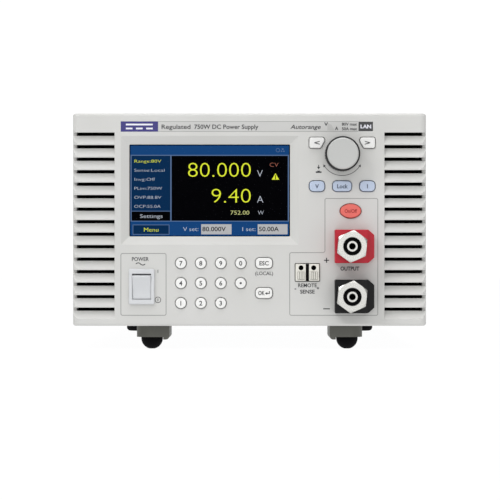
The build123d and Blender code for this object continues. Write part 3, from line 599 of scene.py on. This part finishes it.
OUTPUT_X = 61.0 * MM
OUTPUT_HEIGHTS = {"positive": 62.2 * MM, "negative": 32.2 * MM}
OUTPUT_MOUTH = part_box("terminal_studs")[0].y
SENSE_MIDDLE = centre("sense_housing")
SENSE_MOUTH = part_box("sense_housing")[0].y
SENSE_HALF_PITCH = 3.8 * MM
SENSE_Z = SENSE_MIDDLE.z + 2.8 * MM

for name, z in OUTPUT_HEIGHTS.items():
    bore_sleeve(f"socket_shade_sleeve_{name}", OUTPUT_X, OUTPUT_MOUTH, z, 1.98 * MM, 17 * MM)
for name, side in (("negative", -1), ("positive", 1)):
    x = SENSE_MIDDLE.x + side * SENSE_HALF_PITCH
    bore_sleeve(f"sense_shade_sleeve_{name}", x, SENSE_MOUTH, SENSE_Z, 1.48 * MM, 8 * MM)


# Print on the panel. u runs right from its middle and v up from its lower edge, in mm.

INK_Y = FACE_Y - INK_PROUD


def panel(u, v):
    """A place on the panel's face, in the scene."""
    return u * MM, INK_Y, PANEL_LOW.z + v * MM


def panel_patch(u0, u1, v0, v1, layer=0):
    """A printed rectangle. A higher layer lies on a lower one."""
    x0, y, z0 = panel(u0, v0)
    x1, y, z1 = panel(u1, v1)
    flat = patch(x0, x1, z0, z1, y - layer * INK_PROUD)
    return thicken(flat, INK_THICKNESS)


def panel_frame(u0, u1, v0, v1, radius, width, notch=None):
    """A printed border."""
    x0, y, z0 = panel(u0, v0)
    x1, y, z1 = panel(u1, v1)
    cut = (notch[0] * MM, PANEL_LOW.z + notch[1] * MM) if notch else None
    flat = line_frame(x0, x1, z0, z1, y, radius * MM, width * MM, cut)
    return thicken(flat, INK_THICKNESS)


HEADER_LEFT, HEADER_RIGHT = -55.0, 65.5
HEADER_LOW, HEADER_HIGH = 116.9, 122.9  # the lower edges of its two lines
HEADER_LINE = 0.25
HEADER_BASE = 118.6
BADGE_LEFT = -77.5
DASH_PITCH, DASH_LENGTH = 6.1, 4.0


def header_text(words, cap, u, v, width, weight, slant=0.0):
    """Text on the header's tinted band, from its left end."""
    x, y, z = panel(u, v)
    return lettering(words, cap, x, y - INK_PROUD, z, "LEFT", width, weight, slant)


def header():
    """Strip along the top: badge, title, output envelope, ratings and interface label."""
    lines = [
        panel_patch(HEADER_LEFT, HEADER_RIGHT, v, v + HEADER_LINE) for v in (HEADER_HIGH, HEADER_LOW)
    ]
    keep("header_lines", lines, line_ink, "chassis")
    band = panel_patch(HEADER_LEFT, HEADER_RIGHT, HEADER_LOW + HEADER_LINE, HEADER_HIGH)
    keep("header_band", [band], band_film, "chassis")
    badge = panel_patch(BADGE_LEFT, HEADER_LEFT, HEADER_LOW, HEADER_HIGH + 0.2)
    keep("badge", [badge], badge_film, "chassis")
    first = BADGE_LEFT + 3.1
    solid = panel_patch(first, first + 16.2, 120.7, 121.7, layer=2)
    dashes = [
        panel_patch(first + i * DASH_PITCH, first + i * DASH_PITCH + DASH_LENGTH, 118.3, 119.3, layer=2)
        for i in range(3)
    ]
    keep("badge_dc_symbol", [solid] + dashes, pale_film, "chassis")
    keep(
        "title",
        [
            header_text("Regulated", 2.7, -53.2, HEADER_BASE, 17.4, 0.05),
            header_text("750W DC Power Supply", 2.7, -33.4, HEADER_BASE, 38.6, 0.06),
            header_text("Autorange", 2.6, 24.6, HEADER_BASE, 18.4, 0.05, 0.25),
        ],
        dark_ink, "chassis",
    )
    keep("envelope_tint", [envelope()], grey_film, "chassis")
    keep(
        "envelope_letters",
        [
            header_text("V", 2.0, 45.1, 120.5, 2.3, 0.1),
            header_text("A", 2.1, 51.5, 117.9, 2.0, 0.07),
        ],
        dark_ink, "chassis",
    )
    keep(
        "ratings",
        [
            header_text("80V max", 1.8, 55.5, 120.6, 9.2, 0.05),
            header_text("50A max", 1.8, 55.5, 117.8, 9.2, 0.05),
        ],
        dark_ink, "chassis",
    )
    label = panel_patch(HEADER_RIGHT + 0.1, 74.3, HEADER_LOW + 0.3, HEADER_HIGH)
    keep("network_label", [label], charcoal_film, "chassis")
    x, y, z = panel(70.0, 119.0)
    word = lettering("LAN", 2.2, x, y - 2 * INK_PROUD, z, "CENTER", 6.4, 0.12)
    keep("network_label_word", [word], pale_film, "chassis")


def envelope():
    """The tinted area under a constant-power curve, with its upper right corner hollowed."""
    piece = panel_patch(46.8, 51.2, 117.6, 122.2, layer=1)
    edit(piece)
    bpy.ops.mesh.select_all(action="DESELECT")
    done()
    for vertex in piece.data.vertices:
        vertex.select = vertex.co.x > 50 * MM and vertex.co.z > PANEL_LOW.z + 120 * MM
    bpy.ops.object.mode_set(mode="EDIT")
    bpy.ops.transform.translate(value=(-1.8 * MM, 0, -1.2 * MM))
    return done()


def keypad_legends():
    """Characters on the key caps, each riding on its own key."""
    digits = {f"key_{n}": (str(n), 2.8, None) for n in range(10)}
    words = {
        "key_escape": ("ESC", 2.6, 5.6),
        "key_left": ("<", 3.0, 3.2),
        "key_right": (">", 3.0, 3.2),
        "key_voltage": ("V", 2.5, None),
        "key_lock": ("Lock", 2.5, 6.4),
        "key_current": ("I", 2.5, None),
        "key_output": ("On/Off", 2.2, 7.4),
    }
    inks = {"key_voltage": slate_ink, "key_lock": slate_ink, "key_current": slate_ink}
    inks["key_output"] = maroon_ink
    for node, (word, cap, width) in {**digits, **words}.items():
        middle = centre(node)
        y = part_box(node)[0].y - INK_PROUD
        print_ = lettering(word, cap, middle.x, y, middle.z - cap / 2 * MM, "CENTER", width, 0.07)
        body = node.replace("key_", "button_")
        keep(f"legend_{node}", [print_], inks.get(node, dark_ink), body)
    point = centre("key_point")
    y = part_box("key_point")[0].y - INK_PROUD
    dot = thicken(corner_shape(point.x, point.z, y, 0.65 * MM, 16, 0), INK_THICKNESS)
    keep("legend_key_point", [dot], dark_ink, "button_point")
    ok = centre("key_ok")
    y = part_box("key_ok")[0].y - INK_PROUD
    base = ok.z - 1.15 * MM
    word = lettering("OK", 2.5, ok.x - 1.6 * MM, y, base, "CENTER", 3.9, 0.08)
    head = thicken(
        corner_shape(ok.x + 1.5 * MM, ok.z - 0.2 * MM, y, 0.95 * MM, 3, 90), INK_THICKNESS
    )
    shaft = thicken(
        patch(ok.x + 1.6 * MM, ok.x + 3.5 * MM, ok.z - 0.45 * MM, ok.z + 0.05 * MM, y), INK_THICKNESS
    )
    riser = thicken(
        patch(ok.x + 3.0 * MM, ok.x + 3.5 * MM, ok.z + 0.05 * MM, ok.z + 1.2 * MM, y), INK_THICKNESS
    )
    keep("legend_key_ok", [word, head, shaft, riser], dark_ink, "button_ok")


def sense_details():
    """Painted shade as dark strips: a ring round the sense clamp, one in the gap between its two halves,
    and lines in the levers' grip grooves.
    """
    low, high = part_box("sense_housing")
    margin = 0.45 * MM
    # Painted shade: a near-black ring on the panel round the clamp, where its gap lies in shade.
    gap_shade_ring = line_frame(
        low.x - margin, high.x + margin, low.z - margin, high.z + margin, INK_Y, 0.5 * MM, 0.42 * MM
    )
    keep("sense_gap_shade_ring", [thicken(gap_shade_ring, INK_THICKNESS)], rubber_and_gap_shade, "chassis")
    middle = (low.x + high.x) / 2
    # Painted shade: a near-black strip sunk in the gap between the clamp's two halves.
    gap_shade_strip = patch(
        middle - 0.93 * MM, middle + 0.93 * MM, low.z + 0.2 * MM, high.z - 0.2 * MM, low.y + 0.7 * MM
    )
    keep("sense_gap_shade_strip", [thicken(gap_shade_strip, 0.4 * MM)], rubber_and_gap_shade, "chassis")
    # Painted shade: dark strips sunk in each lever's grip grooves.
    for name in ("negative", "positive"):
        low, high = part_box(f"sense_lever_{name}")
        middle = (low.x + high.x) / 2
        bottom, top, y = low.z + 0.1 * MM, high.z - 0.1 * MM, low.y + 0.25 * MM
        lines = [
            thicken(patch(x - 0.17 * MM, x + 0.17 * MM, bottom, top, y), 0.1 * MM)
            for x in (middle - 1.1 * MM, middle, middle + 1.1 * MM)
        ]
        keep(f"sense_grip_shade_{name}", lines, groove_shade, f"sense_lever_{name}")


def panel_legends():
    """Words and symbols printed beside the controls."""
    switch = centre("rocker_housing")
    escape = centre("key_escape")
    sense = centre("sense_housing")
    knob = centre("knob_cap")
    terminals = [centre(f"terminal_shroud_{name}") for name in ("positive", "negative")]
    y = INK_Y

    def near(point, right, up, words, cap, width=None, weight=0.0):
        return lettering(
            words, cap, point.x + right * MM, y, point.z + (up - cap / 2) * MM, "CENTER", width, weight
        )

    def flat(shape):
        return thicken(shape, INK_THICKNESS)

    words = [
        near(switch, -0.9, 16.6, "POWER", 2.4, 10.2, 0.05),
        near(switch, 9.8, 9.2, "I", 1.9, None, 0.05),
        near(escape, 0.1, -6.1, "(LOCAL)", 2.2, 10.8, 0.03),
        near(sense, 0.0, -7.7, "REMOTE", 2.3, 11.2, 0.06),
        near(sense, 0.0, -11.5, "SENSE", 2.3, 8.8, 0.08),
        near(sense, -7.2, -9.5, "-", 2.4, None, 0.1),
        near(sense, 6.4, -9.4, "+", 2.0, None, 0.1),
        near(terminals[0], -2.6, -13.3, "OUTPUT", 2.4, 11.4, 0.1),
    ]
    bar = 0.3 * MM
    mark_x = terminals[0].x - 16.6 * MM
    plus_z = terminals[0].z - 8.4 * MM
    minus_z = terminals[1].z - 7.6 * MM
    arm = 1.55 * MM
    words.append(flat(patch(mark_x - arm, mark_x + arm, plus_z - bar, plus_z + bar, y)))
    words.append(flat(patch(mark_x - bar, mark_x + bar, plus_z - arm, plus_z + arm, y)))
    words.append(flat(patch(mark_x - 1.3 * arm, mark_x + 1.3 * arm, minus_z - bar, minus_z + bar, y)))
    # alternating-current wave, from two half arcs
    wave_x, wave_z = switch.x - 0.7 * MM, switch.z + 13.6 * MM
    half = 1.8 * MM
    across, up = half * math.cos(math.radians(40)), half * math.sin(math.radians(40))
    words.append(flat(arc(wave_x - across, wave_z - up, y, half, 0.55 * MM, 40, 140)))
    words.append(flat(arc(wave_x + across, wave_z + up, y, half, 0.55 * MM, 220, 320)))
    # standby mark: a ring with a bar
    ring_x, ring_z = switch.x + 9.8 * MM, switch.z - 8.0 * MM
    words.append(flat(arc(ring_x, ring_z, y, 1.7 * MM, 0.35 * MM, 0, 360)))
    words.append(
        flat(patch(ring_x - 0.2 * MM, ring_x + 0.2 * MM, ring_z - 0.9 * MM, ring_z + 0.9 * MM, y))
    )
    # turning arrow round the knob
    reach = 12.8 * MM
    words.append(flat(arc(knob.x, knob.z, y, reach, 0.34 * MM, 215, 325)))
    for angle, turn in ((213, 118), (327, 62)):
        tip = math.radians(angle)
        tip_x, tip_z = knob.x + reach * math.cos(tip), knob.z + reach * math.sin(tip)
        words.append(flat(corner_shape(tip_x, tip_z, y, 1.0 * MM, 3, turn - 90)))
    # push mark: an arrow onto a bar
    push_x, push_z = knob.x - 14.1 * MM, knob.z - 10.4 * MM
    words.append(flat(corner_shape(push_x, push_z + 2.3 * MM, y, 1.05 * MM, 3, 180)))
    words.append(
        flat(patch(push_x - 0.22 * MM, push_x + 0.22 * MM, push_z + 2.5 * MM, push_z + 4.0 * MM, y))
    )
    words.append(
        flat(patch(push_x - 1.75 * MM, push_x + 1.75 * MM, push_z - 0.8 * MM, push_z + 0.1 * MM, y))
    )
    words.append(
        flat(patch(push_x - 0.8 * MM, push_x + 0.8 * MM, push_z + 0.1 * MM, push_z + 0.5 * MM, y))
    )
    keep("panel_legends", words, dark_ink, "chassis")
    keep(
        "panel_borders",
        [
            panel_frame(-77.6, -50.0, 6.2, 43.8, 1.2, 0.4),
            panel_frame(24.0, 77.4, 6.2, 76.9, 1.2, 0.4, notch=(45.2, 44.3)),
        ],
        line_ink, "chassis",
    )


# Print on the rear panel: places in mm from the origin.

LAN_X, USB_X, SERIAL_X, INLET_X = -30.0, -52.0, -82.0, -70.0
CONNECTOR_TEXT_Z = 121.5
INLET_TITLE_Z, INLET_RATING_Z = 62.0, 57.6
REAR_TEXT_WEIGHT = 0.04


def rear_text(words, cap, x, z):
    """Text on the rear panel, read from behind."""
    piece = lettering(words, cap, 0, 0, 0, weight=REAR_TEXT_WEIGHT)
    outward = Matrix.Translation((x * MM, REAR_Y + INK_PROUD, z * MM))
    piece.data.transform(outward @ Matrix.Rotation(math.pi, 4, "Z"))
    return piece


def rear_legends():
    """Words beside the rear connectors."""
    words = [
        rear_text("LAN", 2.6, LAN_X, CONNECTOR_TEXT_Z),
        rear_text("USB", 2.6, USB_X, CONNECTOR_TEXT_Z),
        rear_text("RS-232", 2.6, SERIAL_X, CONNECTOR_TEXT_Z),
        rear_text("AC INPUT", 3.0, INLET_X, INLET_TITLE_Z),
        rear_text("100-240 V  50/60 Hz", 2.4, INLET_X, INLET_RATING_Z),
    ]
    keep("rear_legends", words, dark_ink, "chassis")


# Picture on the display. u runs right and v down from its upper left corner, in mm.

WINDOW_LOW, WINDOW_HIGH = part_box("display_window")
PANE_EDGE = 2.0 * MM  # the pane runs this far behind the panel on each side
SCREEN_X = WINDOW_LOW.x + PANE_EDGE
SCREEN_Z = WINDOW_HIGH.z - PANE_EDGE
SCREEN_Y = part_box("lcd_module")[0].y + 0.2 * MM
SCREEN_WIDTH = (WINDOW_HIGH.x - WINDOW_LOW.x - 2 * PANE_EDGE) / MM
SCREEN_HEIGHT = (WINDOW_HIGH.z - WINDOW_LOW.z - 2 * PANE_EDGE) / MM
LAYER = 0.04 * MM
TEXT_LAYER = 4


def screen_patch(u0, u1, v0, v1, layer):
    y = SCREEN_Y - layer * LAYER
    flat = patch(SCREEN_X + u0 * MM, SCREEN_X + u1 * MM, SCREEN_Z - v1 * MM, SCREEN_Z - v0 * MM, y)
    return thicken(flat, LAYER / 2)


def screen_text(words, cap, u, v, width=None, align="LEFT", weight=0.0):
    """Words on the picture, above every patch."""
    y = SCREEN_Y - TEXT_LAYER * LAYER
    return lettering(words, cap, SCREEN_X + u * MM, y, SCREEN_Z - v * MM, align, width, weight)


def screen(name, pieces, material):
    """Keeps lit pieces of the picture as one."""
    return keep(f"screen_{name}", pieces, material, "chassis")


def display_picture():
    """The lit picture: bars, fields, readings, words and the two status icons."""
    wide, high = SCREEN_WIDTH, SCREEN_HEIGHT
    screen("ground", [screen_patch(0, wide, 0, high, 0)], screen_black)
    screen(
        "bars",
        [screen_patch(0.6, wide - 0.6, 0.6, 6.6, 1), screen_patch(0.6, wide - 0.6, 46.2, high - 0.5, 1)],
        screen_bar,
    )
    screen(
        "side_fields",
        [screen_patch(1.4, 24.4, 6.9, 40.0, 1), screen_patch(2.3, 23.7, 48.7, 54.0, 3)],
        screen_side,
    )
    screen(
        "lines",
        [
            screen_patch(24.6, 25.4, 6.6, 46.2, 1),
            screen_patch(0.6, wide - 0.6, 6.2, 6.8, 2),
            screen_patch(0.6, wide - 0.6, 46.0, 46.5, 2),
            screen_patch(0.6, 1.3, 6.6, 46.2, 1),
            screen_patch(1.3, 24.6, 40.0, 40.4, 1),
            screen_patch(1.9, 24.1, 48.3, 54.4, 2),
            screen_patch(wide - 1.3, wide - 0.6, 6.6, 46.2, 1),
        ],
        screen_line,
    )
    screen(
        "value_fields",
        [screen_patch(43.3, 61.6, 48.1, 54.2, 2), screen_patch(77.4, wide - 1.5, 48.1, 54.2, 2)],
        screen_field,
    )
    screen(
        "readings",
        [
            screen_text("80.000", 9.3, 73.9, 19.6, 37.9, "RIGHT", -0.2),
            screen_text("9.40", 9.2, 73.9, 35.2, 23.7, "RIGHT", -0.2),
            screen_text("Range:80V", 1.9, 2.7, 10.9, 16.1, "LEFT", -0.03),
            screen_text("Menu", 2.6, 13.1, 52.6, 8.7, "CENTER", -0.03),
        ],
        screen_yellow,
    )
    screen("power_reading", [screen_text("752.00", 2.6, 72.5, 42.3, 11.3, "RIGHT", -0.03)], screen_cream)
    rows = (
        ("Sense:Local", 18.2),
        ("Invg:Off", 12.4),
        ("PLim:750W", 16.7),
        ("OVP:88.8V", 16.3),
        ("OCP:55.0A", 15.9),
    )
    first_row, row_pitch = 16.4, 5.45
    pale = [
        screen_text(word, 1.9, 2.7, first_row + i * row_pitch, width, "LEFT", -0.04)
        for i, (word, width) in enumerate(rows)
    ]
    pale += [
        screen_text("V", 4.4, 76.9, 19.5, None, "LEFT", -0.1),
        screen_text("A", 4.4, 76.9, 35.1, None, "LEFT", -0.1),
        screen_text("W", 2.6, 77.4, 42.3, None, "LEFT", -0.07),
        screen_text("V set:", 2.5, 32.3, 52.2, 9.2, "LEFT", -0.03),
        screen_text("I set:", 2.5, 67.8, 52.2, 7.9, "LEFT", -0.03),
        screen_text("Settings", 2.4, 13.2, 44.3, 13.6, "CENTER", -0.03),
    ]
    screen("pale_words", pale, screen_pale)
    screen(
        "dark_words",
        [
            screen_text("80.000V", 2.8, 43.9, 52.3, 14.2, "LEFT", 0.05),
            screen_text("50.00A", 2.8, 78.0, 52.3, 12.0, "LEFT", 0.05),
        ],
        screen_dark,
    )
    screen("mode_word", [screen_text("CV", 2.6, 84.4, 13.4, 5.2, "LEFT", -0.07)], screen_rose)
    sign_x, sign_z = SCREEN_X + 88.1 * MM, SCREEN_Z - 19.9 * MM
    sign = thicken(
        corner_shape(sign_x, sign_z, SCREEN_Y - 2 * LAYER, 2.6 * MM, 3, 0), LAYER / 2
    )
    screen("status_sign", [sign], screen_yellow)
    screen("status_sign_mark", [screen_patch(87.85, 88.35, 18.3, 21.0, 3)], screen_dark)
    ring_x, ring_z = SCREEN_X + 89.6 * MM, SCREEN_Z - 3.4 * MM
    ring = arc(ring_x, ring_z, SCREEN_Y - 2 * LAYER, 1.1 * MM, 0.3 * MM, 0, 360)
    icons = [
        thicken(ring, LAYER / 2),
        screen_patch(92.0, 93.0, 2.3, 3.2, 2),
        screen_patch(91.4, 92.2, 3.7, 4.4, 2),
        screen_patch(92.8, 93.6, 3.7, 4.4, 2),
    ]
    screen("icons", icons, screen_line)


header()
keypad_legends()
panel_legends()
sense_details()
rear_legends()
display_picture()


# Stage: a pale floor, a white backdrop and soft boxes.

# Overlit paper: it stays white, with only a breath of shadow where the feet stand.
sweep_paper = finish(
    blank("overlit_sweep_paper"),
    {
        "Base Color": linear("#3c3c3e"),
        "Roughness": 0.9,
        "Specular IOR Level": 0.0,
        "Emission Color": linear("#ffffff"),
        "Emission Strength": 0.97,
    },
)

STAGE_SIZE = 9.0
BACKDROP_PLACE = (0, 3.6, 3.0)
SKY_STRENGTH = 0.4

deselect()
bpy.ops.mesh.primitive_plane_add(size=STAGE_SIZE, location=(0, 0, 0))
floor = bpy.context.object
floor.name = "floor"
floor.data.materials.append(sweep_paper)

bpy.ops.mesh.primitive_plane_add(
    size=STAGE_SIZE, location=BACKDROP_PLACE, rotation=(math.pi / 2, 0, 0)
)
backdrop = bpy.context.object
backdrop.name = "backdrop"
backdrop.data.materials.append(lit("white_backdrop", "#ffffff", 1.05))

world = bpy.data.worlds.new("studio")
world.use_nodes = True
sky = world.node_tree.nodes["Background"]
sky.inputs["Color"].default_value = linear("#ffffff")
sky.inputs["Strength"].default_value = SKY_STRENGTH
bpy.context.scene.world = world


def soft_box(name, place, target, size, power):
    """A square lamp, size metres wide and power watts strong, aimed at a point."""
    deselect()
    bpy.ops.object.light_add(type="AREA", location=place)
    light = bpy.context.object
    light.name = name
    light.data.shape = "SQUARE"
    light.data.size = size
    light.data.energy = power
    light.rotation_euler = (Vector(target) - Vector(place)).to_track_quat("-Z", "Y").to_euler()


soft_box("overhead", (0.0, -0.5, 2.2), (0, 0, 0), 2.0, 34)
soft_box("key", (-1.5, -2.0, 1.7), (0, -0.15, 0.08), 0.9, 20)
soft_box("front", (0.5, -3.2, 0.9), (0, 0, 0.08), 2.2, 20)
